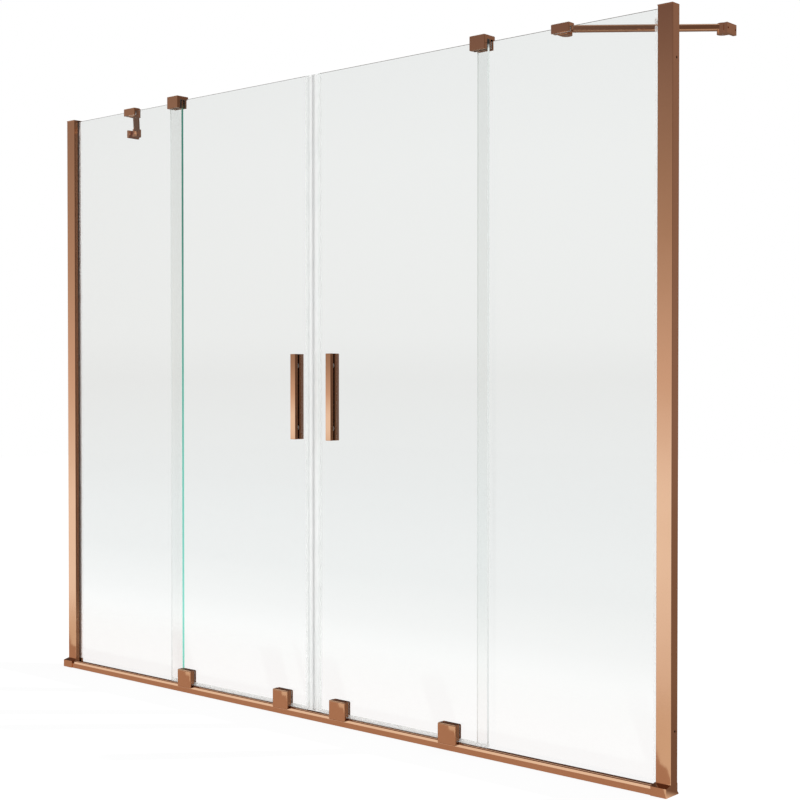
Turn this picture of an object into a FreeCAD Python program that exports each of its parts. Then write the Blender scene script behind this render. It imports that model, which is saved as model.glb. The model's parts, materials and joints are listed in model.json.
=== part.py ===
"""Sliding bath screen: two fixed panes, and two doors that roll on a rail on the bath's rim.

Axes: +X along the screen, +Y from the room towards the bath, +Z up. The origin is on the rim, at the
middle of the screen, on the centre line of the fixed glass. Depths in the sheet are measured from the
rail's front face.
Every piece is drawn on the right-hand side, and its left-hand twin is a mirror image.
"""
import FreeCAD, Part
import os
import re

import Sketcher

DIMENSIONS = [
    # Whole screen
    ("screen_width", 1900, "wall to wall"),
    ("screen_height", 1500, "rim to the top of the wall profiles"),
    ("glass", 6, "thickness of every pane"),
    ("glass_drop", 4.5, "top of the profiles down to the top of the glass"),
    ("slide_front", 14, "rail front to the front of the doors' glass"),
    ("pane_gap", 5.5, "between the doors' glass and the fixed glass"),
    ("fit_gap", 0.3, "clearance of pieces that plug into each other"),
    ("run_gap", 0.6, "clearance of pieces that pass each other"),
    # Rail on the rim
    ("rail_height", 16, "rim to the roller track"),
    ("rail_chamfer", 4, "bevel on the rail's front edge"),
    ("rail_wall", 2.5, "wall of the hollow track"),
    ("rail_floor", 3, "floor of the glazing groove"),
    ("groove_width", 10, "glazing groove, and the gasket's width"),
    ("lip_wall", 2.5, "thickness of the rail's rear lip"),
    ("lip_height", 10, "rim to the top of the rear lip"),
    ("bead_depth", 8.5, "rail front to the middle of the track bead"),
    ("bead_width", 2, "width of the track bead"),
    ("bead_height", 1.5, "height of the track bead"),
    ("bead_bevel", 0.5, "bevel on the bead's edges"),
    # End feet
    ("foot_width", 35, "along the screen"),
    ("foot_height", 22, "rim to the wall profile"),
    ("foot_nose", 18, "height of the foot's front, where its top slopes down"),
    ("foot_proud", 2.7, "foot front ahead of the rail front"),
    ("foot_round", 1.2, "edge radius"),
    ("toe_reach", 4, "toe behind the wall profile"),
    ("toe_height", 6, "toe at the profile"),
    ("toe_edge", 2, "toe at its rear edge"),
    ("spigot_length", 20, "foot's tongue in the hollow rail"),
    # Wall profiles
    ("profile_width", 33, "out from the wall"),
    ("profile_front", 14, "rail front to the profile's front"),
    ("profile_depth", 25, "front to back"),
    ("profile_wall", 2.5, "wall thickness"),
    ("profile_lip", 3, "thickness of the lips at the mouth"),
    ("profile_round", 1, "radius of the front edges"),
    ("profile_rear_round", 1.5, "radius of the rear edges"),
    ("pane_entry", 20, "fixed glass inside the profile"),
    ("wall_hole", 2.5, "radius of the holes for the wall screws"),
    ("wall_hole_inset", 100, "wall hole to the end of the profile"),
    ("cap_thickness", 1.5, "profile cap"),
    ("cap_overhang", 0.6, "cap beyond the profile"),
    ("cap_spigot", 8, "cap's tongue in the profile"),
    # Fixed panes and their gaskets
    ("pane_overlap", 34, "doors over the fixed panes"),
    ("gasket_floor", 2, "gasket under and behind the fixed glass"),
    ("gasket_drop", 0.5, "top of the rail lip down to the gasket"),
    ("gasket_leaf", 15, "rear gasket leaf beyond the profile"),
    ("leaf_wall", 1, "thickness of that leaf"),
    # Top guide blocks
    ("guide_ahead", 6.5, "block beyond the fixed pane's free edge"),
    ("guide_width", 40, "along the screen"),
    ("guide_front", 3, "rail front to the block's front"),
    ("guide_depth", 37, "front to back"),
    ("guide_height", 30, "block height"),
    ("guide_rise", 12.5, "block above the glass"),
    ("guide_roof", 8.5, "thickness over the slots"),
    ("guide_overhang", 3, "roof behind the rear leg"),
    ("guide_round", 1.5, "edge radius"),
    ("liner_wall", 1, "wall of the guide liner"),
    ("liner_gap", 0.5, "liner to the door's glass"),
    ("liner_roof", 2, "liner web under the roof"),
    ("guide_pad", 1, "pads on the fixed glass"),
    ("pad_margin", 1.5, "pad edges inside the block"),
    ("guide_screw_pitch", 20, "between the block's set screws"),
    ("set_screw_radius", 2.5, "set screws"),
    ("set_screw_length", 5, "set screws"),
    ("set_screw_key", 2.5, "across the flats of their hex sockets"),
    ("screw_key", 3, "across the flats of the other screws' hex sockets"),
    ("key_depth", 2, "depth of every hex socket"),
    # Stabiliser bars
    ("stay_inset", 262.5, "wall to the middle of the glass clamp"),
    ("stay_angle", 38.8, "bar to the glass, in degrees"),
    ("clamp_width", 44, "along the screen"),
    ("clamp_cheek", 4, "front cheek"),
    ("clamp_rear", 7.5, "rear cheek"),
    ("clamp_pad", 0.5, "pads on the glass"),
    ("clamp_rise", 8.5, "clamp above the glass"),
    ("clamp_drop", 10, "clamp below the top of the glass"),
    ("clamp_round", 1.5, "edge radius"),
    ("clamp_screw_spread", 16.5, "clamp middle to its set screws"),
    ("hub_radius", 12, "knuckles and the bosses under them"),
    ("hub_back", 7.7, "clamp's back to the knuckle axis"),
    ("boss_height", 6, "boss under a knuckle"),
    ("boss_drop", 6.5, "top of the glass down to the knuckle's seat"),
    ("knuckle_height", 15, "knuckle"),
    ("bar_width", 17, "across the bar"),
    ("bar_height", 12.5, "bar"),
    ("bar_round", 3, "edge radius of the bar"),
    ("bar_seat", 6, "knuckle axis to the bar's end"),
    ("pivot_radius", 2.5, "pivot screw"),
    ("pivot_head", 4.5, "radius of its head"),
    ("pivot_head_height", 3, "head"),
    ("plate_thickness", 7.7, "wall plate"),
    ("plate_length", 38, "wall plate, front to back"),
    ("plate_height", 21, "wall plate"),
    ("plate_drop", 2.5, "wall plate below the boss"),
    ("plate_round", 1.5, "edge radius"),
    ("plate_hole_pitch", 30, "between the wall plate's holes"),
    ("plate_hole", 2.2, "radius of those holes"),
    # Doors
    ("door_inner", 16, "middle of the screen to the door glass"),
    ("door_outer", 511, "middle of the screen to its outer edge"),
    ("door_lift", 4, "door glass above the track"),
    ("seal_wall", 1, "wall of the door seals"),
    ("seal_clip", 8, "closing seal's grip on the glass"),
    ("seal_meet", 0.2, "closing seal to the middle of the screen"),
    ("magnet_width", 5, "magnet strip"),
    ("wiper_clip", 6, "wiper's grip on the glass"),
    # Handles
    ("handle_offset", 57.5, "middle of the screen to the handle"),
    ("handle_level", 750, "rim to the handle's middle"),
    ("handle_length", 200, "bar length"),
    ("handle_width", 16, "bar width"),
    ("outer_handle_depth", 9, "bar on the room side"),
    ("inner_handle_depth", 14.7, "bar on the bath side"),
    ("handle_round", 0.8, "edge radius"),
    ("stud_pitch", 145, "between the two studs"),
    ("stud_radius", 3, "stud through the glass"),
    ("stud_entry", 6, "stud inside a bar"),
    ("washer_radius", 6.5, "washer between bar and glass"),
    ("washer", 1, "washer thickness"),
    ("stud_hole", 4, "radius of the hole in the glass"),
    # Carriages
    ("right_inner_carriage", 87.5, "middle of the screen to the carriage"),
    ("right_carriage_inset", 99.5, "door's outer edge to its outer carriage"),
    ("left_inner_carriage", 98.5, "middle of the screen to the carriage"),
    ("left_carriage_inset", 64.5, "door's outer edge to its outer carriage"),
    ("block_width", 50, "along the screen"),
    ("block_height", 40, "above the track"),
    ("block_lift", 6, "rear of the block above the track"),
    ("block_round", 3, "edge radius"),
    ("cheek", 6, "front cheek that reaches down over the bevel"),
    ("skirt_flat", 0.5, "cheek's lower edge"),
    ("clamp_plate", 2.5, "plate behind the glass"),
    ("plate_edge", 0.8, "edge radius of that plate"),
    ("plate_lift", 1.2, "that plate above the track"),
    ("carriage_pad", 0.5, "pads on the glass"),
    ("carriage_pad_margin", 2, "pad edges inside the block"),
    ("sleeve_radius", 4.5, "sleeve in the glass hole"),
    ("clamp_screw_radius", 2.5, "clamp screw"),
    ("clamp_screw_head", 4.5, "radius of its countersunk head"),
    ("clamp_screw_entry", 6, "screw inside the housing"),
    ("clamp_screw_pitch", 30, "between a carriage's two screws"),
    ("clamp_screw_drop", 8, "top of the block down to the screws"),
    # Rollers
    ("roller_run", 11, "rolling radius"),
    ("roller_flange", 12, "radius of the flanges"),
    ("roller_width", 6, "roller"),
    ("roller_gap", 0.5, "roller to the pocket's side walls"),
    ("pocket_gap", 1, "roller rim to the pocket"),
    ("bead_gap", 0.3, "roller to the bead"),
    ("groove_flare", 0.4, "slope of the groove's sides"),
    ("axle_radius", 2.5, "roller axle"),
    ("axle_nose", 2, "block front to the axle's end"),
    ("bearing_gap", 0.08, "running clearance on the axle"),
]

# Values that follow from the sheet, as formulas of its names
DERIVED = {
    "wall": "screen_width / 2",
    "slide_back": "slide_front + glass",
    "fixed_front": "slide_back + pane_gap",
    "fixed_back": "fixed_front + glass",
    "glass_line": "fixed_front + glass / 2",
    "glass_top": "screen_height - glass_drop",
    "groove_front": "glass_line - groove_width / 2",
    "groove_back": "glass_line + groove_width / 2",
    "rail_depth": "groove_back + lip_wall",
    "hollow_back": "groove_front - rail_wall",
    "hollow_top": "rail_height - rail_wall",
    "foot_face": "wall - foot_width",
    "toe_back": "profile_back + toe_reach",
    "profile_face": "wall - profile_width",
    "profile_back": "profile_front + profile_depth",
    "profile_top": "screen_height - cap_thickness",
    "cavity_face": "profile_face + profile_lip",
    "cavity_end": "wall - profile_wall",
    "cavity_front": "profile_front + profile_wall",
    "cavity_back": "profile_back - profile_wall",
    "mouth_front": "fixed_front - fit_gap",
    "fixed_edge": "door_outer - pane_overlap",
    "pane_end": "profile_face + pane_entry",
    "pane_seat": "rail_floor + gasket_floor",
    "gasket_top": "lip_height - gasket_drop",
    "gasket_end": "pane_end + gasket_floor",
    "guide_inner": "fixed_edge - guide_ahead",
    "guide_outer": "guide_inner + guide_width",
    "guide_back": "guide_front + guide_depth",
    "guide_leg_back": "guide_back - guide_overhang",
    "guide_top": "glass_top + guide_rise",
    "guide_bottom": "guide_top - guide_height",
    "guide_slot_top": "guide_top - guide_roof",
    "guide_middle": "guide_inner + guide_width / 2",
    "guide_screw_level": "(guide_bottom + glass_top) / 2",
    "liner_front": "slide_front - liner_gap",
    "liner_back": "slide_back + liner_gap",
    "liner_slot_front": "liner_front - liner_wall",
    "liner_slot_back": "liner_back + liner_wall",
    "guide_pad_front": "fixed_front - guide_pad",
    "guide_pad_back": "fixed_back + guide_pad",
    "clamp_x": "wall - stay_inset",
    "clamp_slot_front": "fixed_front - clamp_pad",
    "clamp_slot_back": "fixed_back + clamp_pad",
    "clamp_front": "clamp_slot_front - clamp_cheek",
    "clamp_back": "clamp_slot_back + clamp_rear",
    "clamp_top": "glass_top + clamp_rise",
    "clamp_bottom": "glass_top - clamp_drop",
    "clamp_slot_top": "glass_top + clamp_pad",
    "clamp_screw_line": "(clamp_bottom + glass_top) / 2",
    "hub_y": "clamp_back + hub_back",
    "knuckle_seat": "glass_top - boss_drop",
    "knuckle_top": "knuckle_seat + knuckle_height",
    "pivot_head_seat": "knuckle_top - pivot_head_height",
    "boss_bottom": "knuckle_seat - boss_height",
    "plate_bottom": "boss_bottom - plate_drop",
    "wall_hub_x": "wall - plate_thickness - hub_radius - fit_gap",
    "stay_reach": "wall_hub_x - clamp_x",
    "stay_length": "stay_reach / cos(stay_angle * 1 deg)",
    "wall_hub_y": "hub_y + stay_reach * tan(stay_angle * 1 deg)",
    "door_bottom": "rail_height + door_lift",
    "seal_front": "slide_front - seal_wall",
    "seal_back": "slide_back + seal_wall",
    "magnet_face": "seal_meet + seal_wall",
    "wiper_web": "door_bottom - seal_wall",
    "wiper_tip": "rail_height + run_gap",
    "wiper_middle": "slide_front + glass / 2",
    "outer_handle_back": "slide_front - washer",
    "inner_handle_front": "slide_back + washer",
    "right_outer_carriage": "door_outer - right_carriage_inset",
    "left_outer_carriage": "door_outer - left_carriage_inset",
    "block_top": "rail_height + block_height",
    "block_base": "rail_height + block_lift",
    "skirt_seat": "rail_height + run_gap",
    "skirt_bottom": "skirt_seat - rail_chamfer + skirt_flat",
    "housing_back": "slide_front - carriage_pad",
    "plate_front": "slide_back + carriage_pad",
    "plate_back": "plate_front + clamp_plate",
    "plate_foot": "rail_height + plate_lift",
    "clamp_screw_level": "block_top - clamp_screw_drop",
    "axle_level": "rail_height + bead_height + bead_gap + roller_run",
    "pocket_front": "bead_depth - roller_width / 2 - roller_gap",
    "pocket_back": "bead_depth + roller_width / 2 + roller_gap",
    "pocket_top": "axle_level + roller_flange + pocket_gap",
    "groove_half": "bead_width / 2 + bead_gap",
}

ALIASES = {alias for alias, value, meaning in DIMENSIONS}
TOUCH = 0.01
ACROSS = FreeCAD.Vector(1, 0, 0)
TURN_TO = {
    "x": FreeCAD.Rotation(FreeCAD.Vector(0, 1, 0), 90),
    "y": FreeCAD.Rotation(FreeCAD.Vector(1, 0, 0), -90),
    "z": FreeCAD.Rotation(),
}

doc = FreeCAD.newDocument("bath_screen")
nodes = {}


def make_sheet():
    """The driving dimensions: name, size in millimetres and meaning."""
    sheet = doc.addObject("Spreadsheet::Sheet", "Dims")
    for row, (alias, value, meaning) in enumerate(DIMENSIONS, 1):
        sheet.set("A%d" % row, alias)
        sheet.set("B%d" % row, str(value))
        sheet.set("C%d" % row, meaning)
        sheet.setAlias("B%d" % row, alias)
    doc.recompute()


def formula(text):
    """Turns a formula of named sizes into an expression on the sheet's cells."""
    def swap(match):
        word = match.group(0)
        if word in DERIVED:
            return "(" + formula(DERIVED[word]) + ")"
        return "Dims." + word if word in ALIASES else word
    return re.sub(r"[a-z]\w*", swap, text)


def from_front(depth):
    """A depth behind the rail's front face, as a Y coordinate."""
    return "(%s) - glass_line" % depth


def place(item, x, y, z):
    for axis, text in zip("xyz", (x, from_front(y), z)):
        item.setExpression("Placement.Base." + axis, formula(text))


# Basic solids

def box(name, x, y, z):
    """A block; each of x, y and z is a pair of formulas, low and high."""
    item = doc.addObject("Part::Box", name)
    for size, (low, high) in zip(("Length", "Width", "Height"), (x, y, z)):
        item.setExpression(size, formula("(%s) - (%s)" % (high, low)))
    place(item, x[0], y[0], z[0])
    return item


def rod(name, axis, radius, x, y, z):
    """A round bar along one axis."""
    item = doc.addObject("Part::Cylinder", name)
    item.setExpression("Radius", formula(radius))
    return lay_along(item, axis, x, y, z)


def hex_bar(name, axis, flats, x, y, z):
    """A six-sided bar along one axis, given by its width across the flats."""
    item = doc.addObject("Part::Prism", name)
    item.Polygon = 6
    item.setExpression("Circumradius", formula("(%s) / sqrt(3)" % flats))
    return lay_along(item, axis, x, y, z)


def lay_along(item, axis, x, y, z):
    """Sets a bar's length and place; its axis has a pair of formulas, the other two have one."""
    low = {"x": x, "y": y, "z": z}
    start, end = low[axis]
    low[axis] = start
    item.setExpression("Height", formula("(%s) - (%s)" % (end, start)))
    item.Placement = FreeCAD.Placement(FreeCAD.Vector(), TURN_TO[axis])
    place(item, low["x"], low["y"], low["z"])
    return item


def fuse(name, *items):
    item = doc.addObject("Part::MultiFuse", name)
    item.Shapes = list(items)
    return item


def cut(name, base, *tools):
    item = doc.addObject("Part::Cut", name)
    item.Base = base
    item.Tool = tools[0] if len(tools) == 1 else fuse(name + "_tools", *tools)
    return item


def group(name, *items):
    item = doc.addObject("Part::Compound", name)
    item.Links = list(items)
    return item


def mirrored(item):
    twin = doc.addObject("Part::Mirroring", item.Name + "_twin")
    twin.Source = item
    twin.Normal = ACROSS
    return twin


# Bodies drawn as sketches

def new_sketch(body, plane):
    sketch = body.newObject("Sketcher::SketchObject", body.Name + "_outline")
    support = next(item for item in body.Origin.OriginFeatures if item.Role == plane)
    sketch.AttachmentSupport = [(support, "")]
    sketch.MapMode = "FlatFace"
    return sketch


def draw_outline(sketch, points):
    """A closed outline of straight lines, with each corner tied to the sheet."""
    texts = [(formula(across), formula(up)) for across, up in points]
    corners = [FreeCAD.Vector(*(float(sketch.evalExpression(text)) for text in pair)) for pair in texts]
    first = sketch.GeometryCount
    for start, end in zip(corners, corners[1:] + corners[:1]):
        sketch.addGeometry(Part.LineSegment(start, end))
    for index, (pair, corner) in enumerate(zip(texts, corners)):
        line = first + index
        following = first + (index + 1) % len(points)
        sketch.addConstraint(Sketcher.Constraint("Coincident", line, 2, following, 1))
        for kind, text, value in zip(("DistanceX", "DistanceY"), pair, corner):
            number = sketch.addConstraint(Sketcher.Constraint(kind, -1, 1, line, 1, value))
            sketch.setExpression("Constraints[%d]" % number, text)


def extrude(name, axis, outlines, start, end):
    """A bar of constant section along X, Y or Z.

    Corners are (depth, height) for a bar along X, (along, height) along Y and (along, depth) along Z.
    """
    body = doc.addObject("PartDesign::Body", name)
    sketch = new_sketch(body, {"x": "YZ_Plane", "y": "XZ_Plane", "z": "XY_Plane"}[axis])
    offset = start
    if axis == "y":
        # The XZ plane faces -Y, so the bar grows from its far end towards the front
        offset = "-(%s)" % from_front(end)
    sketch.setExpression("AttachmentOffset.Base.z", formula(offset))
    for points in outlines:
        if axis == "x":
            points = [(from_front(depth), height) for depth, height in points]
        if axis == "z":
            points = [(along, from_front(depth)) for along, depth in points]
        draw_outline(sketch, points)
    pad = body.newObject("PartDesign::Pad", name + "_pad")
    pad.Profile = sketch
    pad.setExpression("Length", formula("(%s) - (%s)" % (end, start)))
    return body


def revolve(name, x, y, z, points):
    """A turned piece about an axis along Y; corners are (distance along the axis, radius)."""
    body = doc.addObject("PartDesign::Body", name)
    sketch = new_sketch(body, "YZ_Plane")
    for axis, text in zip("xyz", (from_front(y), z, x)):
        sketch.setExpression("AttachmentOffset.Base." + axis, formula(text))
    draw_outline(sketch, points)
    turn = body.newObject("PartDesign::Revolution", name + "_turn")
    turn.Profile = sketch
    turn.ReferenceAxis = (sketch, ["H_Axis"])
    turn.Angle = 360
    return body


def lies_on(edge, box_of_shape, side):
    """Whether an edge lies on one side of the shape's box, such as x- or z+."""
    limit = getattr(box_of_shape, side[0].upper() + {"-": "Min", "+": "Max"}[side[1]])
    return all(abs(getattr(corner.Point, side[0]) - limit) < TOUCH for corner in edge.Vertexes)


def round_edges(body, radius, *places):
    """Rounds the edges that lie on all sides of any of the places, such as ("x-", "z+")."""
    doc.recompute()
    base = body.Tip
    limits = base.Shape.BoundBox
    edges = ["Edge%d" % number for number, edge in enumerate(base.Shape.Edges, 1)
             if any(all(lies_on(edge, limits, side) for side in sides) for sides in places)]
    fillet = body.newObject("PartDesign::Fillet", body.Name + "_round")
    fillet.Base = (base, edges)
    fillet.setExpression("Radius", formula(radius))
    return body


def rectangle(across, up):
    """Corners of a rectangle from two pairs of formulas."""
    return [(across[0], up[0]), (across[1], up[0]), (across[1], up[1]), (across[0], up[1])]


def spread(middle, width):
    """Low and high ends of a width about its middle."""
    return ("%s - (%s) / 2" % (middle, width), "%s + (%s) / 2" % (middle, width))


# Nodes

def add_node(label, item):
    item.Label = label
    nodes[label] = item


def add_twins(name, item):
    """A right-hand piece and its left-hand twin, as two nodes."""
    add_node("right_" + name, item)
    add_node("left_" + name, mirrored(item))


def add_set(name, *items):
    """Right-hand pieces and their left-hand twins, as one node."""
    add_node(name, group(name, *items, *(mirrored(item) for item in items)))


def add_door_node(side, name, item):
    add_node(side + "_" + name, item if side == "right" else mirrored(item))


# Standing frame

def make_rail():
    bead_low, bead_high = spread("bead_depth", "bead_width")
    bead_top = "rail_height + bead_height"
    section = [
        ("0", "0"), ("0", "rail_height - rail_chamfer"), ("rail_chamfer", "rail_height"),
        (bead_low, "rail_height"), (bead_low, bead_top + " - bead_bevel"),
        (bead_low + " + bead_bevel", bead_top), (bead_high + " - bead_bevel", bead_top),
        (bead_high, bead_top + " - bead_bevel"),
        (bead_high, "rail_height"), ("groove_front", "rail_height"), ("groove_front", "rail_floor"),
        ("groove_back", "rail_floor"), ("groove_back", "lip_height"), ("rail_depth", "lip_height"),
        ("rail_depth", "0"),
    ]
    add_node("bottom_rail", extrude("rail", "x", [section, rail_hollow("0")], "-(foot_face)", "foot_face"))


def rail_hollow(inset):
    """Section of the hollow under the track, drawn in by a gap."""
    front, back = "rail_wall + " + inset, "hollow_back - " + inset
    low, high = "rail_wall + " + inset, "hollow_top - " + inset
    return [
        (front, low), (front, high + " - rail_chamfer"), (front + " + rail_chamfer", high),
        (back, high), (back, low),
    ]


def make_feet():
    section = [
        ("-foot_proud", "0"), ("-foot_proud", "foot_nose"), ("profile_front", "foot_height"),
        ("profile_back", "foot_height"), ("profile_back", "toe_height"), ("toe_back", "toe_edge"),
        ("toe_back", "0"),
    ]
    base = extrude("foot", "x", [section], "foot_face", "wall")
    round_edges(base, "foot_round", ("x-", "y-"))
    slot = box("foot_slot", ("foot_face", "gasket_end"), ("groove_front", "groove_back"),
               ("rail_floor", "foot_height"))
    spigot = extrude("foot_spigot", "x", [rail_hollow("fit_gap")], "foot_face - spigot_length", "foot_face")
    add_twins("foot", fuse("foot_with_spigot", cut("slotted_foot", base, slot), spigot))


def make_wall_profiles():
    section = [
        ("profile_face", "profile_front"), ("wall", "profile_front"), ("wall", "profile_back"),
        ("profile_face", "profile_back"), ("profile_face", "groove_back"), ("cavity_face", "groove_back"),
        ("cavity_face", "cavity_back"), ("cavity_end", "cavity_back"), ("cavity_end", "cavity_front"),
        ("cavity_face", "cavity_front"), ("cavity_face", "mouth_front"), ("profile_face", "mouth_front"),
    ]
    channel = extrude("channel", "z", [section], "foot_height", "profile_top")
    round_edges(channel, "profile_round", ("x-", "y-"), ("x+", "y-"))
    round_edges(channel, "profile_rear_round", ("x-", "y+"), ("x+", "y+"))
    levels = ("foot_height + wall_hole_inset", "profile_top - wall_hole_inset")
    holes = [rod("wall_hole", "x", "wall_hole", ("cavity_end", "wall"), "glass_line", level)
             for level in levels]
    add_twins("wall_profile", cut("drilled_channel", channel, *holes))


def make_profile_caps():
    overhang = ("profile_front - cap_overhang", "profile_back + cap_overhang")
    lid = extrude("cap_lid", "z", [rectangle(("profile_face - cap_overhang", "wall"), overhang)],
                  "profile_top", "screen_height")
    round_edges(lid, "profile_rear_round + cap_overhang", ("x-", "y+"), ("x+", "y+"))
    tongue = box("cap_tongue", ("gasket_end + fit_gap", "cavity_end - fit_gap"),
                 ("cavity_front + fit_gap", "cavity_back - fit_gap"),
                 ("profile_top - cap_spigot", "profile_top"))
    add_set("profile_caps", fuse("cap", lid, tongue))


def make_fixed_panes():
    add_twins("fixed_pane", box("fixed_glass", ("fixed_edge", "pane_end"), ("fixed_front", "fixed_back"),
                                ("pane_seat", "glass_top")))


def make_gaskets():
    rail_section = [
        ("groove_front", "rail_floor"), ("groove_front", "gasket_top"), ("fixed_front", "gasket_top"),
        ("fixed_front", "pane_seat"), ("fixed_back", "pane_seat"), ("fixed_back", "gasket_top"),
        ("groove_back", "gasket_top"), ("groove_back", "rail_floor"),
    ]
    add_set("rail_gaskets", extrude("rail_gasket", "x", [rail_section], "fixed_edge", "pane_end"))
    leaf = "profile_face - gasket_leaf"
    profile_section = [
        ("cavity_face", "groove_front"), ("gasket_end", "groove_front"), ("gasket_end", "groove_back"),
        ("profile_face", "groove_back"), ("profile_face", "fixed_back + leaf_wall"),
        (leaf, "fixed_back + leaf_wall"), (leaf, "fixed_back"), ("pane_end", "fixed_back"),
        ("pane_end", "fixed_front"), ("cavity_face", "fixed_front"),
    ]
    add_set("profile_gaskets", extrude("profile_gasket", "z", [profile_section], "foot_height", "glass_top"))


# Top guides

def make_guide_blocks():
    section = [
        ("guide_front", "guide_bottom"), ("guide_front", "guide_top"), ("guide_back", "guide_top"),
        ("guide_back", "guide_slot_top"), ("guide_leg_back", "guide_slot_top"),
        ("guide_leg_back", "guide_bottom"), ("guide_pad_back", "guide_bottom"),
        ("guide_pad_back", "guide_slot_top"), ("guide_pad_front", "guide_slot_top"),
        ("guide_pad_front", "guide_bottom"),
        ("liner_slot_back", "guide_bottom"), ("liner_slot_back", "guide_slot_top"),
        ("liner_slot_front", "guide_slot_top"), ("liner_slot_front", "guide_bottom"),
    ]
    block = extrude("guide", "x", [section], "guide_inner", "guide_outer")
    round_edges(block, "guide_round", ("y-", "z+"), ("y+", "z+"), ("x-", "z+"), ("x+", "z+"),
                ("x-", "y-"), ("x+", "y-"), ("x-", "y+"), ("x+", "y+"))
    columns = spread("guide_middle", "guide_screw_pitch")
    holes = [rod("guide_screw_hole", "y", "set_screw_radius", column, ("guide_pad_back", "guide_leg_back"),
                 "guide_screw_level") for column in columns]
    add_twins("guide_block", cut("drilled_guide", block, *holes))


def make_guide_linings():
    section = [
        ("liner_slot_front", "guide_bottom"), ("liner_slot_front", "guide_slot_top"),
        ("liner_slot_back", "guide_slot_top"), ("liner_slot_back", "guide_bottom"),
        ("liner_back", "guide_bottom"), ("liner_back", "guide_slot_top - liner_roof"),
        ("liner_front", "guide_slot_top - liner_roof"), ("liner_front", "guide_bottom"),
    ]
    add_set("guide_liners", extrude("guide_liner", "x", [section], "guide_inner", "guide_outer"))
    along = ("fixed_edge + pad_margin", "guide_outer - pad_margin")
    up = ("guide_bottom + pad_margin", "glass_top")
    pads = [box("guide_pad", along, depth, up) for depth in
            (("guide_pad_front", "fixed_front"), ("fixed_back", "guide_pad_back"))]
    add_set("guide_pads", *pads)


def make_set_screws():
    """The screws that hold the guide blocks and the glass clamps, each driven against a pad."""
    sets = (
        ("guide_screws", spread("guide_middle", "guide_screw_pitch"), "guide_pad_back", "guide_screw_level"),
        ("stay_screws", spread("clamp_x", "2 * clamp_screw_spread"), "clamp_slot_back", "clamp_screw_line"),
    )
    for name, columns, seat, level in sets:
        add_set(name, *(make_set_screw(column, seat, level) for column in columns))


def make_set_screw(column, seat, level):
    end = seat + " + set_screw_length"
    shank = rod("set_shank", "y", "set_screw_radius", column, (seat, end), level)
    socket = hex_bar("set_socket", "y", "set_screw_key", column, (end + " - key_depth", end), level)
    return cut("set_screw", shank, socket)


# Stabiliser bars

def make_glass_clamps():
    section = [
        ("clamp_front", "clamp_bottom"), ("clamp_front", "clamp_top"), ("clamp_back", "clamp_top"),
        ("clamp_back", "clamp_bottom"), ("clamp_slot_back", "clamp_bottom"),
        ("clamp_slot_back", "clamp_slot_top"), ("clamp_slot_front", "clamp_slot_top"),
        ("clamp_slot_front", "clamp_bottom"),
    ]
    saddle = extrude("clamp", "x", [section], *spread("clamp_x", "clamp_width"))
    round_edges(saddle, "clamp_round", ("y-", "z+"), ("y+", "z+"), ("x-", "z+"), ("x+", "z+"),
                ("x-", "y-"), ("x+", "y-"))
    recess = rod("clamp_recess", "z", "hub_radius + fit_gap", "clamp_x", "hub_y",
                 ("knuckle_seat", "clamp_top"))
    holes = [rod("clamp_screw_hole", "y", "set_screw_radius", column, ("clamp_slot_back", "clamp_back"),
                 "clamp_screw_line") for column in spread("clamp_x", "2 * clamp_screw_spread")]
    boss = pivot_boss("clamp_boss", "clamp_x", "hub_y")
    web = box("clamp_web", spread("clamp_x", "2 * hub_radius"), ("clamp_slot_back + clamp_pad", "hub_y"),
              ("boss_bottom", "knuckle_seat"))
    body = fuse("clamp_with_boss", cut("cut_saddle", saddle, recess, *holes), boss, web)
    add_twins("glass_clamp", cut("bored_clamp", body, pivot_hole("clamp_x", "hub_y")))
    along = spread("clamp_x", "clamp_width - 2 * pad_margin")
    pads = [box("clamp_pad", along, depth, ("clamp_bottom", "glass_top"))
            for depth in (("clamp_slot_front", "fixed_front"), ("fixed_back", "clamp_slot_back"))]
    add_set("clamp_pads", *pads)


def pivot_boss(name, x, y):
    return rod(name, "z", "hub_radius", x, y, ("boss_bottom", "knuckle_seat"))


def pivot_hole(x, y):
    return rod("pivot_hole", "z", "pivot_radius + bearing_gap", x, y, ("boss_bottom", "knuckle_seat"))


def make_stay_bars():
    section = rectangle(spread("glass_line", "bar_width"), spread("knuckle_height / 2", "bar_height"))
    bar = extrude("bar", "x", [section], "bar_seat", "stay_length - bar_seat")
    round_edges(bar, "bar_round", ("y-", "z-"), ("y-", "z+"), ("y+", "z-"), ("y+", "z+"))
    bar.Placement = FreeCAD.Placement(FreeCAD.Vector(), FreeCAD.Rotation(FreeCAD.Vector(0, 0, 1), 1))
    bar.setExpression("Placement.Rotation.Angle", formula("stay_angle * 1 deg"))
    place(bar, "clamp_x", "hub_y", "knuckle_seat")
    add_twins("stay_bar", bar)
    add_twins("clamp_knuckle", make_knuckle("clamp_x", "hub_y", bar))
    add_twins("wall_knuckle", make_knuckle("wall_hub_x", "wall_hub_y", bar))
    add_set("pivot_screws", make_pivot_screw("clamp_x", "hub_y"),
            make_pivot_screw("wall_hub_x", "wall_hub_y"))


def make_knuckle(x, y, bar):
    """A round end fitting with a socket for the bar and a sunk head for the pivot screw."""
    hub = rod("hub", "z", "hub_radius", x, y, ("knuckle_seat", "knuckle_top"))
    shank = rod("knuckle_hole", "z", "pivot_radius + bearing_gap", x, y, ("knuckle_seat", "knuckle_top"))
    head = rod("knuckle_sink", "z", "pivot_head + fit_gap", x, y, ("pivot_head_seat", "knuckle_top"))
    return cut("knuckle", hub, bar, fuse("knuckle_bore", shank, head))


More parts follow.
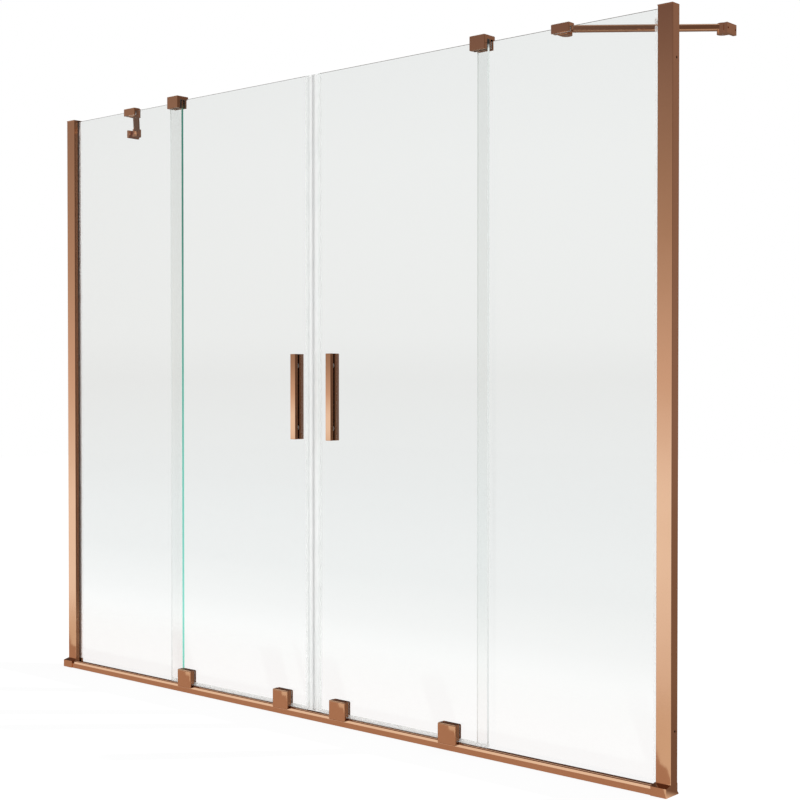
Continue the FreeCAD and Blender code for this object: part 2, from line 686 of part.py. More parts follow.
def make_pivot_screw(x, y):
    shank = rod("pivot_shank", "z", "pivot_radius", x, y, ("boss_bottom", "pivot_head_seat"))
    head = rod("pivot_head", "z", "pivot_head", x, y, ("pivot_head_seat", "knuckle_top"))
    socket = hex_bar("pivot_socket", "z", "screw_key", x, y, ("knuckle_top - key_depth", "knuckle_top"))
    return cut("pivot_screw", fuse("pivot_blank", shank, head), socket)


def make_wall_plates():
    up = ("plate_bottom", "plate_bottom + plate_height")
    outline = rectangle(spread("wall_hub_y", "plate_length"), up)
    plate = extrude("plate", "x", [outline], "wall - plate_thickness", "wall")
    round_edges(plate, "plate_round", ("x-", "y-"), ("x-", "y+"), ("x-", "z+"))
    boss = pivot_boss("wall_boss", "wall_hub_x", "wall_hub_y")
    web = box("wall_web", ("wall_hub_x", "wall - plate_thickness"), spread("wall_hub_y", "2 * hub_radius"),
              ("boss_bottom", "knuckle_seat"))
    holes = [rod("plate_hole", "x", "plate_hole", ("wall - plate_thickness", "wall"), depth,
                 "plate_bottom + plate_height / 2") for depth in spread("wall_hub_y", "plate_hole_pitch")]
    add_twins("wall_plate", cut("drilled_plate", fuse("plate_with_boss", plate, boss, web),
                                pivot_hole("wall_hub_x", "wall_hub_y"), *holes))


# Doors

def make_door(side):
    """One door, drawn on the right-hand side with that side's carriage places."""
    ends = ("inner", "outer")
    places = ["%s_%s_carriage" % (side, end) for end in ends]
    depth = ("slide_front", "slide_back")
    glass = box("door_glass", ("door_inner", "door_outer"), depth, ("door_bottom", "glass_top"))
    holes = [rod("stud_hole", "y", "stud_hole", "handle_offset", depth, level)
             for level in spread("handle_level", "stud_pitch")]
    holes += [rod("sleeve_hole", "y", "sleeve_radius", column, depth, "clamp_screw_level")
              for middle in places for column in spread(middle, "clamp_screw_pitch")]
    add_door_node(side, "sliding_pane", cut("door_pane", glass, *holes))
    make_handles(side)
    make_closing_seal(side)
    make_wiper(side, places)
    make_carriages(side, ends, places)


def make_handles(side):
    across = spread("handle_offset", "handle_width")
    up = spread("handle_level", "handle_length")
    levels = spread("handle_level", "stud_pitch")
    outer_front = "outer_handle_back - outer_handle_depth"
    inner_back = "inner_handle_front + inner_handle_depth"
    stud_depth = ("outer_handle_back - stud_entry", "inner_handle_front + stud_entry")
    bars = (("outer_handle", (outer_front, "outer_handle_back"), "y-", (stud_depth[0], "outer_handle_back")),
            ("inner_handle", ("inner_handle_front", inner_back), "y+", ("inner_handle_front", stud_depth[1])))
    for name, depth, face, bore in bars:
        bar = extrude(name, "y", [rectangle(across, up)], *depth)
        round_edges(bar, "handle_round", (face,), ("x-", "z-"), ("x-", "z+"), ("x+", "z-"), ("x+", "z+"))
        sockets = [rod("stud_socket", "y", "stud_radius", "handle_offset", bore, level) for level in levels]
        add_door_node(side, name, cut("bored_" + name, bar, *sockets))
    studs = [rod("stud", "y", "stud_radius", "handle_offset", stud_depth, level) for level in levels]
    add_door_node(side, "handle_studs", group("studs", *studs))
    washers = [make_washer(level, depth) for level in levels
               for depth in (("outer_handle_back", "slide_front"), ("slide_back", "inner_handle_front"))]
    add_door_node(side, "handle_washers", group("washers", *washers))


def make_washer(level, depth):
    disc = rod("washer_disc", "y", "washer_radius", "handle_offset", depth, level)
    return cut("washer", disc, rod("washer_hole", "y", "stud_radius", "handle_offset", depth, level))


def make_closing_seal(side):
    """Clear seal on the closing edge: a clip on the glass and a hollow nose with the magnet strip in it."""
    clip = "door_inner + seal_clip"
    section = [
        ("seal_meet", "seal_front"), (clip, "seal_front"), (clip, "slide_front"),
        ("door_inner", "slide_front"), ("door_inner", "slide_back"), (clip, "slide_back"),
        (clip, "seal_back"), ("seal_meet", "seal_back"),
    ]
    hollow = rectangle(("magnet_face", "door_inner - seal_wall"), ("slide_front", "slide_back"))
    up = ("door_bottom", "glass_top")
    add_door_node(side, "closing_seal", extrude("closing_seal", "z", [section, hollow], *up))
    add_door_node(side, "magnet_strip", box("magnet", ("magnet_face", "magnet_face + magnet_width"),
                                            ("slide_front", "slide_back"), up))


def make_wiper(side, places):
    """Clear wiper under the glass, in lengths between the carriages."""
    clip = "door_bottom + wiper_clip"
    blade_front, blade_back = spread("wiper_middle", "seal_wall")
    section = [
        ("seal_front", clip), ("slide_front", clip), ("slide_front", "door_bottom"),
        ("slide_back", "door_bottom"), ("slide_back", clip), ("seal_back", clip), ("seal_back", "wiper_web"),
        (blade_back, "wiper_web"), (blade_back, "wiper_tip"), (blade_front, "wiper_tip"),
        (blade_front, "wiper_web"), ("seal_front", "wiper_web"),
    ]
    strip = extrude("wiper", "x", [section], "door_inner + seal_clip", "door_outer")
    gaps = [box("wiper_gap", spread(middle, "block_width + 2 * fit_gap"), ("seal_front", "seal_back"),
                ("wiper_tip", clip)) for middle in places]
    add_door_node(side, "wiper_seal", cut("wiper_lengths", strip, *gaps))


# Carriages

def make_carriages(side, ends, places):
    pads, plates, screws, axles = [], [], [], []
    for end, middle in zip(ends, places):
        screw_pair = [make_clamp_screw(column) for column in spread(middle, "clamp_screw_pitch")]
        axle = rod("axle", "y", "axle_radius", middle, ("axle_nose", "housing_back"), "axle_level")
        add_door_node(side, end + "_housing", make_housing(middle, screw_pair, axle))
        plates.append(make_clamp_plate(middle, screw_pair))
        pads += make_carriage_pads(middle, screw_pair)
        screws += [cut("keyed_screw", *pair) for pair in zip(screw_pair, make_clamp_sockets(middle))]
        axles.append(axle)
        add_door_node(side, end + "_roller", make_roller(middle))
    add_door_node(side, "clamp_plates", group("clamp_plates", *plates))
    add_door_node(side, "carriage_pads", group("carriage_pads", *pads))
    add_door_node(side, "clamp_screws", group("clamp_screws", *screws))
    add_door_node(side, "roller_axles", group("roller_axles", *axles))


def make_housing(middle, screws, axle):
    """Front half of a carriage: its cheek follows the rail's bevel, and the roller runs in its pocket."""
    section = [
        ("0", "skirt_bottom"), ("0", "block_top"), ("housing_back", "block_top"),
        ("housing_back", "block_base"), ("cheek", "block_base"), ("cheek", "skirt_seat"),
        ("rail_chamfer", "skirt_seat"), ("skirt_flat", "skirt_bottom"),
    ]
    shell = extrude("housing", "x", [section], *spread(middle, "block_width"))
    round_edges(shell, "block_round", ("x-", "y-"), ("x+", "y-"), ("y-", "z+"), ("x-", "z+"), ("x+", "z+"))
    pocket = box("roller_pocket", spread(middle, "2 * (roller_flange + pocket_gap)"),
                 ("pocket_front", "pocket_back"), ("rail_height", "pocket_top"))
    return cut("cored_housing", shell, pocket, axle, *screws)


def make_clamp_plate(middle, screws):
    outline = rectangle(spread(middle, "block_width"), ("plate_foot", "block_top"))
    plate = extrude("clamp_plate", "y", [outline], "plate_front", "plate_back")
    round_edges(plate, "block_round", ("x-", "z+"), ("x+", "z+"))
    round_edges(plate, "plate_edge", ("y+",))
    return cut("sunk_plate", plate, *screws)


def make_carriage_pads(middle, screws):
    """The pad in front of the glass, whose sleeves line the glass holes, and the pad behind it."""
    across = spread(middle, "block_width - 2 * carriage_pad_margin")
    up = ("block_base", "block_top - carriage_pad_margin")
    front = box("front_pad", across, ("housing_back", "slide_front"), up)
    sleeves = [rod("sleeve", "y", "sleeve_radius", column, ("slide_front", "slide_back"), "clamp_screw_level")
               for column in spread(middle, "clamp_screw_pitch")]
    rear = box("rear_pad", across, ("slide_back", "plate_front"), up)
    sleeved = fuse("pad_with_sleeves", front, *sleeves)
    return [cut("sleeved_pad", sleeved, *screws), cut("bored_pad", rear, *screws)]


def make_clamp_screw(column):
    """A countersunk screw, driven from behind the glass into the housing."""
    slope = "clamp_screw_head - clamp_screw_radius"
    head = doc.addObject("Part::Cone", "screw_head")
    head.setExpression("Radius1", formula("clamp_screw_radius"))
    head.setExpression("Radius2", formula("clamp_screw_head"))
    head.setExpression("Height", formula(slope))
    head.Placement = FreeCAD.Placement(FreeCAD.Vector(), TURN_TO["y"])
    place(head, column, "plate_back - (%s)" % slope, "clamp_screw_level")
    shank = rod("screw_shank", "y", "clamp_screw_radius", column,
                ("housing_back - clamp_screw_entry", "plate_back - (%s)" % slope), "clamp_screw_level")
    return fuse("clamp_screw", head, shank)


def make_clamp_sockets(middle):
    depth = ("plate_back - key_depth", "plate_back")
    return [hex_bar("clamp_socket", "y", "screw_key", column, depth, "clamp_screw_level")
            for column in spread(middle, "clamp_screw_pitch")]


def make_roller(middle):
    """Roller with a groove that runs on the track bead."""
    half = "roller_width / 2"
    flare = "groove_half + groove_flare"
    bore = "axle_radius + bearing_gap"
    section = [
        ("-" + half, bore), ("-" + half, "roller_flange"), ("-(%s)" % flare, "roller_flange"),
        ("-(groove_half)", "roller_run"), ("groove_half", "roller_run"), (flare, "roller_flange"),
        (half, "roller_flange"), (half, bore),
    ]
    return revolve("roller", middle, "bead_depth", "axle_level", section)


# Build, check and write

def check_model():
    """Stops if any object failed, or if a node is empty or broken."""
    failed = [item.Name for item in doc.Objects if {"Invalid", "Error"} & set(item.State)]
    broken = [label for label, item in nodes.items() if item.Shape.isNull() or not item.Shape.isValid()]
    if failed or broken:
        raise RuntimeError("failed objects: %s, broken nodes: %s" % (failed, broken))


def main():
    make_sheet()
    make_rail()
    make_feet()
    make_wall_profiles()
    make_profile_caps()
    make_fixed_panes()
    make_gaskets()
    make_guide_blocks()
    make_guide_linings()
    make_glass_clamps()
    make_set_screws()
    make_stay_bars()
    make_wall_plates()
    for side in ("left", "right"):
        make_door(side)
    doc.recompute()
    check_model()
    os.makedirs("parts", exist_ok=True)
    for label, item in nodes.items():
        item.Shape.exportStep("parts/%s.step" % label)
    print("%d nodes, %d solids" % (len(nodes), sum(len(item.Shape.Solids) for item in nodes.values())))


main()
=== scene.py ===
"""Looks of the sliding bath screen: polished rose-gold fittings and clear glass on a white studio floor."""
import json
import math
from collections import namedtuple

import bpy
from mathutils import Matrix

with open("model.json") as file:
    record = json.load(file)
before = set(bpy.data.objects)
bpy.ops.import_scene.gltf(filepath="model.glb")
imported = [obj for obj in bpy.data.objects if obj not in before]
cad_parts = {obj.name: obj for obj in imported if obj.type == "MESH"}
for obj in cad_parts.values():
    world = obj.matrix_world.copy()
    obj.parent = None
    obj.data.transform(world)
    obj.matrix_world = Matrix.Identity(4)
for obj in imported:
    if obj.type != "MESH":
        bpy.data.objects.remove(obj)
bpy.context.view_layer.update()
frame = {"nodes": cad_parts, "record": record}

# Camera, fitted to the photograph: metres and degrees in the CAD frame
IMAGE_WIDTH_PX = 800
FOCAL_LENGTH_PX = 1434.1
SENSOR_WIDTH_MM = 36
CAMERA_PLACE = (2.3473, -2.3847, 0.7920)
CAMERA_YAW = 41.254
CAMERA_PITCH = -0.849

# Colours, as linear red, green and blue; a pair is two tones that a surface wanders between
BLACK = (0.0, 0.0, 0.0)
DIM = (0.7, 0.7, 0.7)
WHITE = (1.0, 1.0, 1.0)
ROSE_GOLD = ((0.80, 0.51, 0.34), (0.77, 0.485, 0.315))
STEEL = ((0.62, 0.62, 0.63), (0.55, 0.55, 0.56))
ROLLER_WHITE = ((0.82, 0.82, 0.80), (0.77, 0.77, 0.75))
GUIDE_BLACK = ((0.06, 0.055, 0.05), (0.04, 0.037, 0.034))
MAGNET_WHITE = ((0.94, 0.94, 0.94), (0.90, 0.90, 0.90))
WASHER_SMOKY = ((0.34, 0.32, 0.30), (0.28, 0.26, 0.25))
VINYL = ((0.95, 0.97, 0.96), (0.90, 0.93, 0.92))
VINYL_IOR = 1.45
SEAL_OPACITY = 0.3
GASKET_OPACITY = 0.05

# Finishes: cloud scales of tone and roughness, roughness range, and the grain's scale, metres and strength
Finish = namedtuple("Finish", "tone_scale dull_scale roughness grain")
POLISHED = Finish(tone_scale=7.0, dull_scale=9.0, roughness=(0.04, 0.07), grain=(25.0, 0.00002, 0.3))
SOFT = Finish(tone_scale=30.0, dull_scale=40.0, roughness=(0.12, 0.22), grain=None)
MOULDED = Finish(tone_scale=50.0, dull_scale=60.0, roughness=(0.35, 0.5), grain=(900.0, 0.0001, 0.2))
TURNED = Finish(tone_scale=150.0, dull_scale=200.0, roughness=(0.2, 0.35), grain=(1500.0, 0.00005, 0.2))
CLOUD_DETAIL = 4.0
CLOUD_RANGE = (0.3, 0.7)

# Glass: height in metres and colour, for the faces and the polished edges of fixed panes and doors
GLASS_IOR = 1.5
# Faces: a grey-green tint, with painted light that clears it towards the bottom
GLASS_FACE = (
    (0.08, (1.00, 1.00, 1.00)),
    (0.19, (0.975, 0.99, 0.985)),
    (0.30, (0.93, 0.95, 0.943)),
    (0.36, (0.918, 0.941, 0.934)),
    (1.50, (0.918, 0.941, 0.934)),
)
# Fixed edges: a green tint, with painted light that brightens them towards the bottom and a painted dark line
# at the top
FIXED_EDGE = (
    (0.05, (0.25, 1.00, 0.82)),
    (0.60, (0.08, 0.70, 0.54)),
    (1.20, (0.025, 0.29, 0.22)),
    (1.48, (0.025, 0.29, 0.22)),
    (1.49, (0.01, 0.05, 0.04)),
)
# Door edges, also used for any edge seen from inside a pane: painted pale as lit through the glass, with a
# painted dark line at the top
DOOR_EDGE = (
    (0.05, (0.96, 1.00, 0.99)),
    (1.48, (0.93, 1.00, 0.97)),
    (1.49, (0.02, 0.03, 0.03)),
)
EDGE_ROUGHNESS = 0.3
EDGE_CLEARNESS = 0.12

# Handle bars: crowned about their middle height, as curvature in 1/m, with painted shade on the face towards
# the glass
HANDLE_MIDDLE = 0.75
HANDLE_CROWN = 0.9
HANDLE_PAINTED_SHADE = (0.16, 0.07, 0.05)

# A face looks along +Y or -Y where its normal goes further that way than this
FACES_ALONG = 0.5

# Studio that the metal and the glass reflect, in front and behind: sine of the elevation and colour
FRONT_STUDIO = (
    (-1.00, (0.45, 0.33, 0.27)),
    (-0.26, (0.72, 0.60, 0.51)),
    (-0.13, (1.00, 1.00, 1.00)),
    (-0.08, (1.00, 1.00, 1.00)),
    (0.00, (0.74, 0.62, 0.55)),
    (0.10, (0.48, 0.38, 0.32)),
    (0.25, (0.20, 0.14, 0.13)),
    (0.42, (0.12, 0.07, 0.055)),
)
REAR_STUDIO = (
    (-0.75, (0.33, 0.24, 0.19)),
    (-0.45, (0.23, 0.155, 0.115)),
    (-0.15, (0.23, 0.155, 0.115)),
    (-0.02, (0.285, 0.20, 0.165)),
    (0.65, (0.285, 0.20, 0.165)),
    (0.85, (0.95, 0.94, 0.92)),
)
REAR_DIRECTION = (0.5, 0.866, 0.0)
REAR_START = (-0.40, -0.25)

# A bright panel overhead: where it starts, by the direction to the rear and the sine of the elevation
PANEL_FRONT = (-0.45, -0.33)
PANEL_FOOT = (0.40, 0.54)
PANEL_COLOUR = (0.98, 0.96, 0.92)

# Dark screens behind, on the left and fainter far right: share by the sideways direction, foot and colour
DARK_SCREEN = (
    (-0.90, BLACK),
    (-0.80, WHITE),
    (-0.05, WHITE),
    (0.30, BLACK),
    (0.55, BLACK),
    (0.70, DIM),
)
DARK_SCREEN_FOOT = (-0.25, -0.15)
DARK_SCREEN_COLOUR = (0.09, 0.055, 0.042)

# A pale panel low behind, for the back of the frame: share by the sideways direction, top and colour
LOW_PANEL = (
    (-0.42, BLACK),
    (-0.28, WHITE),
    (0.05, WHITE),
    (0.25, BLACK),
)
LOW_PANEL_TOP = (0.02, -0.12)
LOW_PANEL_COLOUR = (0.85, 0.72, 0.62)

# Seen through the glass, pale grey: backdrop by the sine of the elevation, floor by metres from the screen
BACKDROP = (
    (0.00, (0.885, 0.885, 0.885)),
    (0.03, (0.93, 0.93, 0.93)),
    (0.09, (0.958, 0.958, 0.958)),
    (0.15, (0.972, 0.972, 0.972)),
    (0.22, (0.965, 0.965, 0.965)),
)
FLOOR_BACK = (
    (0.70, (1.00, 1.00, 1.00)),
    (1.10, (0.958, 0.958, 0.958)),
    (1.45, (0.945, 0.945, 0.945)),
    (1.90, (0.92, 0.92, 0.92)),
    (4.00, (0.89, 0.89, 0.89)),
    (5.40, (0.88, 0.88, 0.88)),
)

# Floor: white to the camera; reflected, a strip of painted shade beside the screen, darker behind it, with a
# painted glow for its shaded level, that fades into the studio
FLOOR_SIZE = 20.0
FLOOR_WHITE = (0.9, 0.9, 0.9)
FLOOR_WHITE_GLOW = 0.9
FLOOR_FRONT = (0.667, 0.796, 0.747)
FLOOR_FRONT_PAINTED_GLOW = (0.70, 0.40, 0.275)
FLOOR_REAR_PAINTED_SHADE = (0.18, 0.12, 0.09)
FLOOR_CHANGE = 0.02
FLOOR_STRIP = (0.3, 0.9)
FLOOR_STRIP_PAINTED_GLOW = 0.55
FLOOR_LAMP = 124.0
FLOOR_LAMP_PLACE = (2.665, 2.385, 0.30)
FLOOR_LAMP_RADIUS = 0.02

# Glossy Depth counts whole reflections, so anything above this has been reflected
MIRROR_DEPTH = 0.5


# Node helpers

def new_tree(owner):
    owner.use_nodes = True
    owner.node_tree.nodes.clear()
    return owner.node_tree


def add(tree, kind, **values):
    """A node with some of its settings and sockets; a socket is given by its name with _ for a space."""
    node = tree.nodes.new(kind)
    for name, value in values.items():
        if hasattr(node, name):
            setattr(node, name, value)
        else:
            node.inputs[name.replace("_", " ")].default_value = value
    return node


def join(tree, *pairs):
    """Links pairs of sockets, from an output to an input."""
    for output, socket in pairs:
        tree.links.new(output, socket)


def rgba(colour):
    return (*colour, 1.0)


def calculate(tree, operation, first, second=0.0):
    """A Math node on sockets or numbers."""
    node = add(tree, "ShaderNodeMath", operation=operation)
    for socket, value in zip(node.inputs, (first, second)):
        if isinstance(value, float):
            socket.default_value = value
        else:
            tree.links.new(value, socket)
    return node.outputs[0]


def part_of(tree, vector, axis):
    """One coordinate of a vector socket."""
    split = add(tree, "ShaderNodeSeparateXYZ")
    tree.links.new(vector, split.inputs[0])
    return split.outputs[axis]


def spread(tree, value, start, end, low=0.0, high=1.0, smooth=False):
    """Low where a value is at start, high where it is at end."""
    node = add(tree, "ShaderNodeMapRange", interpolation_type="SMOOTHSTEP" if smooth else "LINEAR",
               From_Min=start, From_Max=end, To_Min=low, To_Max=high)
    tree.links.new(value, node.inputs["Value"])
    return node.outputs["Result"]


def ramp(tree, value, stops):
    """A colour that follows a value; stops are pairs of value and colour, from low to high."""
    low = stops[0][0]
    high = stops[-1][0]
    node = add(tree, "ShaderNodeValToRGB")
    tree.links.new(spread(tree, value, low, high), node.inputs["Fac"])
    elements = node.color_ramp.elements
    while len(elements) < len(stops):
        elements.new(0.5)
    for element, (at, colour) in zip(elements, stops):
        element.position = (at - low) / (high - low)
        element.color = rgba(colour)
    return node.outputs["Color"]


def mix_colours(tree, share, first, second):
    """First colour where share is 0, second where it is 1; a colour is a socket or a plain colour."""
    node = add(tree, "ShaderNodeMix", data_type="RGBA")
    sockets = [socket for socket in node.inputs if socket.enabled]
    tree.links.new(share, sockets[0])
    for socket, colour in zip(sockets[1:], (first, second)):
        if isinstance(colour, tuple):
            socket.default_value = rgba(colour)
        else:
            tree.links.new(colour, socket)
    return next(socket for socket in node.outputs if socket.enabled)


def mix_shaders(tree, share, first, second):
    """First shader where share is 0, second where it is 1."""
    node = add(tree, "ShaderNodeMixShader")
    if isinstance(share, float):
        node.inputs["Fac"].default_value = share
    else:
        tree.links.new(share, node.inputs["Fac"])
    join(tree, (first.outputs[0], node.inputs[1]), (second.outputs[0], node.inputs[2]))
    return node


def object_point(tree):
    return add(tree, "ShaderNodeTexCoord").outputs["Object"]


def cloud(tree, scale):
    """Soft noise on the object, mostly within CLOUD_RANGE."""
    noise = add(tree, "ShaderNodeTexNoise", Scale=scale, Detail=CLOUD_DETAIL)
    tree.links.new(object_point(tree), noise.inputs["Vector"])
    return noise.outputs["Fac"]


# Materials

def new_material(name, **values):
    """A Principled material, with some of its sockets set, and its tree."""
    material = bpy.data.materials.new(name)
    tree = new_tree(material)
    shader = add(tree, "ShaderNodeBsdfPrincipled", **values)
    output = add(tree, "ShaderNodeOutputMaterial")
    join(tree, (shader.outputs["BSDF"], output.inputs["Surface"]))
    return material, tree, shader


def add_bump(tree, shader, height, distance, strength=1.0):
    """Raises the surface by a height, on top of any bump that it has."""
    bump = add(tree, "ShaderNodeBump", Distance=distance, Strength=strength)
    normal = shader.inputs["Normal"]
    if normal.is_linked:
        tree.links.new(normal.links[0].from_socket, bump.inputs["Normal"])
    join(tree, (height, bump.inputs["Height"]), (bump.outputs["Normal"], normal))


def give_finish(tree, shader, tones, finish):
    """Clouds of two close tones and of roughness, as handling leaves it, and a grain if it has one."""
    tone = ramp(tree, cloud(tree, finish.tone_scale), tuple(zip(CLOUD_RANGE, tones)))
    roughness = spread(tree, cloud(tree, finish.dull_scale), *CLOUD_RANGE, *finish.roughness)
    join(tree, (tone, shader.inputs["Base Color"]), (roughness, shader.inputs["Roughness"]))
    if finish.grain:
        scale, height, strength = finish.grain
        add_bump(tree, shader, cloud(tree, scale), height, strength)


def make_rose_gold(name):
    """Polished plating with the slight waviness that polishing leaves."""
    material, tree, shader = new_material(name, Metallic=1.0)
    give_finish(tree, shader, ROSE_GOLD, POLISHED)
    return material, tree, shader


def make_handle_gold(name, glass_side):
    """The same plating on a handle bar, slightly crowned, with painted shade on the face towards the glass.

    The glass side is 1.0 where the glass is on the bar's +Y side and -1.0 where it is on the -Y side.
    """
    material, tree, shader = make_rose_gold(name)
    height = part_of(tree, object_point(tree), "Z")
    away = calculate(tree, "SUBTRACT", height, HANDLE_MIDDLE)
    crown = calculate(tree, "MULTIPLY", calculate(tree, "MULTIPLY", away, away), -HANDLE_CROWN / 2)
    add_bump(tree, shader, crown, 1.0)
    # Painted shade: the face towards the glass is painted dark
    across = part_of(tree, add(tree, "ShaderNodeNewGeometry").outputs["True Normal"], "Y")
    back = calculate(tree, "GREATER_THAN", calculate(tree, "MULTIPLY", across, glass_side), FACES_ALONG)
    base = shader.inputs["Base Color"]
    tree.links.new(mix_colours(tree, back, base.links[0].from_socket, HANDLE_PAINTED_SHADE), base)
    return material


def make_glass(name, edge_stops):
    """Clear glass with a grey-green tint and painted light that clears it towards the bottom; its edges carry
    painted light and shade by height and are painted pale from inside the glass.
    """
    material, tree, shader = new_material(name, IOR=GLASS_IOR)
    height = part_of(tree, object_point(tree), "Z")
    geometry = add(tree, "ShaderNodeNewGeometry")
    across = part_of(tree, geometry.outputs["True Normal"], "Y")
    face = calculate(tree, "GREATER_THAN", calculate(tree, "ABSOLUTE", across), FACES_ALONG)
    # Painted light: an edge seen from inside the glass takes the pale door-edge colours
    edge = mix_colours(tree, geometry.outputs["Backfacing"], ramp(tree, height, edge_stops),
                       ramp(tree, height, DOOR_EDGE))
    colour = mix_colours(tree, face, edge, ramp(tree, height, GLASS_FACE))
    join(tree, (colour, shader.inputs["Base Color"]),
         (spread(tree, face, 0.0, 1.0, EDGE_ROUGHNESS, 0.0), shader.inputs["Roughness"]),
         (spread(tree, face, 0.0, 1.0, EDGE_CLEARNESS, 1.0), shader.inputs["Transmission Weight"]))
    return material


def make_clear_vinyl(name, opacity):
    """Soft vinyl that lets most of the light through."""
    material, tree, shader = new_material(name, Alpha=opacity, IOR=VINYL_IOR)
    give_finish(tree, shader, VINYL, SOFT)
    return material


def make_plastic(name, tones):
    """Moulded plastic with a fine sparked grain."""
    material, tree, shader = new_material(name)
    give_finish(tree, shader, tones, MOULDED)
    return material


def make_steel():
    """Turned stainless steel, a little dull."""
    material, tree, shader = new_material("steel", Metallic=1.0)
    give_finish(tree, shader, STEEL, TURNED)
    return material


def dress_nodes():
    """Gives every CAD node its piece's material, or else its slot's; clear pieces shade nothing near them."""
    vinyl = make_clear_vinyl("clear_vinyl", SEAL_OPACITY)
    metal = make_rose_gold("rose_gold")[0]
    by_slot = {
        "rose_gold_fitting": metal,
        "rose_gold_profile": metal,
        "clear_glass": make_glass("clear_glass", FIXED_EDGE),
        "clear_seal": vinyl,
        "clear_plastic": vinyl,
        "guide_plastic": make_plastic("guide_plastic", GUIDE_BLACK),
        "roller_plastic": make_plastic("roller_plastic", ROLLER_WHITE),
        "magnet": make_plastic("magnet", MAGNET_WHITE),
        "steel": make_steel(),
    }
    by_piece = {
        "sliding_pane": make_glass("door_glass", DOOR_EDGE),
        "gaskets": make_clear_vinyl("clear_gasket", GASKET_OPACITY),
        "outer_handle": make_handle_gold("rose_gold_outer_handle", 1.0),
        "inner_handle": make_handle_gold("rose_gold_inner_handle", -1.0),
        "handle_washers": make_plastic("washer_plastic", WASHER_SMOKY),
    }
    for part in frame["record"]["subparts"]:
        piece = frame["nodes"][part["node"]]
        kind = part["node"].partition("_")[2]
        material = by_piece.get(kind, by_slot[part["material_slot"]])
        for slot in piece.material_slots:
            slot.material = material
        opaque = not part["material_slot"].startswith("clear")
        piece.visible_shadow = opaque
        piece.visible_diffuse = opaque


# Studio

def mirrored(tree, path):
    """1 for what metal or glass reflects, 0 for what is seen directly or through glass."""
    return calculate(tree, "GREATER_THAN", path.outputs["Glossy Depth"], MIRROR_DEPTH)


def studio_colour(tree, direction):
    """The graded studio, by the direction to it."""
    up = part_of(tree, direction, "Z")
    sideways = part_of(tree, direction, "X")
    panel = calculate(tree, "MULTIPLY", spread(tree, part_of(tree, direction, "Y"), *PANEL_FRONT),
                      spread(tree, up, *PANEL_FOOT))
    front = mix_colours(tree, panel, ramp(tree, up, FRONT_STUDIO), PANEL_COLOUR)
    dark = calculate(tree, "MULTIPLY", ramp(tree, sideways, DARK_SCREEN), spread(tree, up, *DARK_SCREEN_FOOT))
    rear = mix_colours(tree, dark, ramp(tree, up, REAR_STUDIO), DARK_SCREEN_COLOUR)
    low = calculate(tree, "MULTIPLY", ramp(tree, sideways, LOW_PANEL), spread(tree, up, *LOW_PANEL_TOP))
    rear = mix_colours(tree, low, rear, LOW_PANEL_COLOUR)
    behind = add(tree, "ShaderNodeVectorMath", operation="DOT_PRODUCT")
    behind.inputs[1].default_value = REAR_DIRECTION
    tree.links.new(direction, behind.inputs[0])
    return mix_colours(tree, spread(tree, behind.outputs["Value"], *REAR_START, smooth=True), front, rear)


def make_world():
    """White around the screen, pale grey behind its glass, and the studio that metal and glass reflect."""
    world = bpy.data.worlds.new("studio")
    bpy.context.scene.world = world
    tree = new_tree(world)
    path = add(tree, "ShaderNodeLightPath")
    direction = add(tree, "ShaderNodeTexCoord").outputs["Generated"]
    backdrop = ramp(tree, part_of(tree, direction, "Z"), BACKDROP)
    straight = add(tree, "ShaderNodeBackground", Strength=1.0)
    reflected = add(tree, "ShaderNodeBackground", Strength=1.0)
    seen = mix_shaders(tree, mirrored(tree, path), straight, reflected)
    output = add(tree, "ShaderNodeOutputWorld")
    join(tree, (mix_colours(tree, path.outputs["Is Camera Ray"], backdrop, WHITE), straight.inputs["Color"]),
         (studio_colour(tree, direction), reflected.inputs["Color"]),
         (seen.outputs[0], output.inputs["Surface"]))


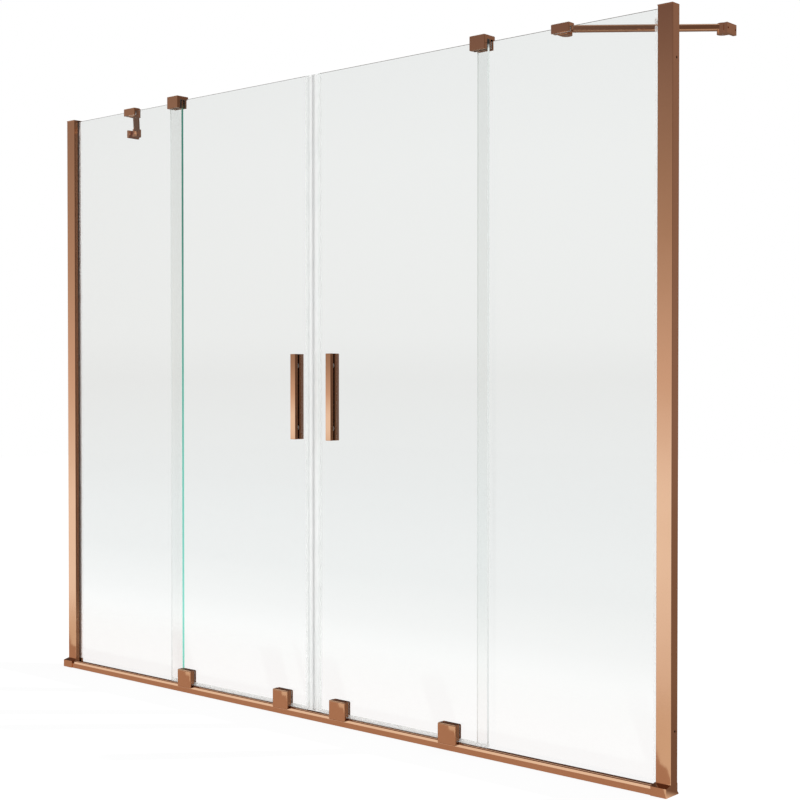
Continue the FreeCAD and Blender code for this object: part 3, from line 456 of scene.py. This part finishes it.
def make_floor():
    """A pale floor at rim level, white to the camera, with a faint shadow of the screen."""
    bpy.ops.mesh.primitive_plane_add(size=FLOOR_SIZE)
    floor = bpy.context.object
    floor.name = "floor"
    material = bpy.data.materials.new("floor")
    tree = new_tree(material)
    path = add(tree, "ShaderNodeLightPath")
    depth = part_of(tree, object_point(tree), "Y")
    distance = calculate(tree, "ABSOLUTE", depth)

    # The strip that metal reflects is painted shade beside the screen, darker behind it; the lamp lights it
    # with real shadows and a painted glow sets its shaded level
    strip_lit = add(tree, "ShaderNodeBsdfDiffuse")
    strip_painted_glow = add(tree, "ShaderNodeEmission", Strength=1.0)
    for shader, front in ((strip_lit, FLOOR_FRONT), (strip_painted_glow, FLOOR_FRONT_PAINTED_GLOW)):
        colour = ramp(tree, depth, ((-FLOOR_CHANGE, front), (FLOOR_CHANGE, FLOOR_REAR_PAINTED_SHADE)))
        tree.links.new(colour, shader.inputs["Color"])
    strip = mix_shaders(tree, FLOOR_STRIP_PAINTED_GLOW, strip_lit, strip_painted_glow)
    far = spread(tree, distance, *FLOOR_STRIP, smooth=True)
    reflected = mix_shaders(tree, far, strip, add(tree, "ShaderNodeBsdfTransparent"))

    pale = add(tree, "ShaderNodeBsdfDiffuse", Color=rgba(FLOOR_WHITE))
    glow = add(tree, "ShaderNodeEmission", Color=rgba(WHITE), Strength=1.0)
    white = mix_shaders(tree, FLOOR_WHITE_GLOW, pale, glow)
    behind_glass = add(tree, "ShaderNodeEmission", Strength=1.0)
    tree.links.new(ramp(tree, distance, FLOOR_BACK), behind_glass.inputs["Color"])
    straight = mix_shaders(tree, path.outputs["Is Camera Ray"], behind_glass, white)

    seen = mix_shaders(tree, mirrored(tree, path), straight, reflected)
    output = add(tree, "ShaderNodeOutputMaterial")
    join(tree, (seen.outputs[0], output.inputs["Surface"]))
    floor.data.materials.append(material)
    return floor


def make_floor_lamp(floor):
    """A low lamp behind on the right, for the floor alone, so that the metal reflects the shadows there.

    Its strength grows with the distance, which lights the whole floor evenly.
    """
    lit = bpy.data.collections.new("lit_by_floor_lamp")
    lit.objects.link(floor)
    lamp = bpy.data.objects.new("floor_lamp", bpy.data.lights.new("floor_lamp", "POINT"))
    lamp.location = FLOOR_LAMP_PLACE
    lamp.data.energy = FLOOR_LAMP
    lamp.data.shadow_soft_size = FLOOR_LAMP_RADIUS
    lamp.light_linking.receiver_collection = lit
    lamp.visible_glossy = False
    lamp.visible_transmission = False
    tree = new_tree(lamp.data)
    falloff = add(tree, "ShaderNodeLightFalloff", Strength=1.0)
    even = calculate(tree, "MULTIPLY", falloff.outputs["Constant"],
                     add(tree, "ShaderNodeLightPath").outputs["Ray Length"])
    glow = add(tree, "ShaderNodeEmission", Color=rgba(WHITE))
    output = add(tree, "ShaderNodeOutputLight")
    join(tree, (even, glow.inputs["Strength"]), (glow.outputs[0], output.inputs["Surface"]))
    bpy.context.scene.collection.objects.link(lamp)


def make_camera():
    """The photograph's camera."""
    camera = bpy.data.objects.new("camera", bpy.data.cameras.new("camera"))
    camera.data.sensor_width = SENSOR_WIDTH_MM
    camera.data.lens = FOCAL_LENGTH_PX / IMAGE_WIDTH_PX * SENSOR_WIDTH_MM
    camera.location = CAMERA_PLACE
    camera.rotation_euler = (math.radians(90 + CAMERA_PITCH), 0, math.radians(CAMERA_YAW))
    bpy.context.scene.collection.objects.link(camera)
    bpy.context.scene.camera = camera


bpy.context.scene.view_settings.view_transform = "Standard"
dress_nodes()
make_world()
make_floor_lamp(make_floor())
make_camera()
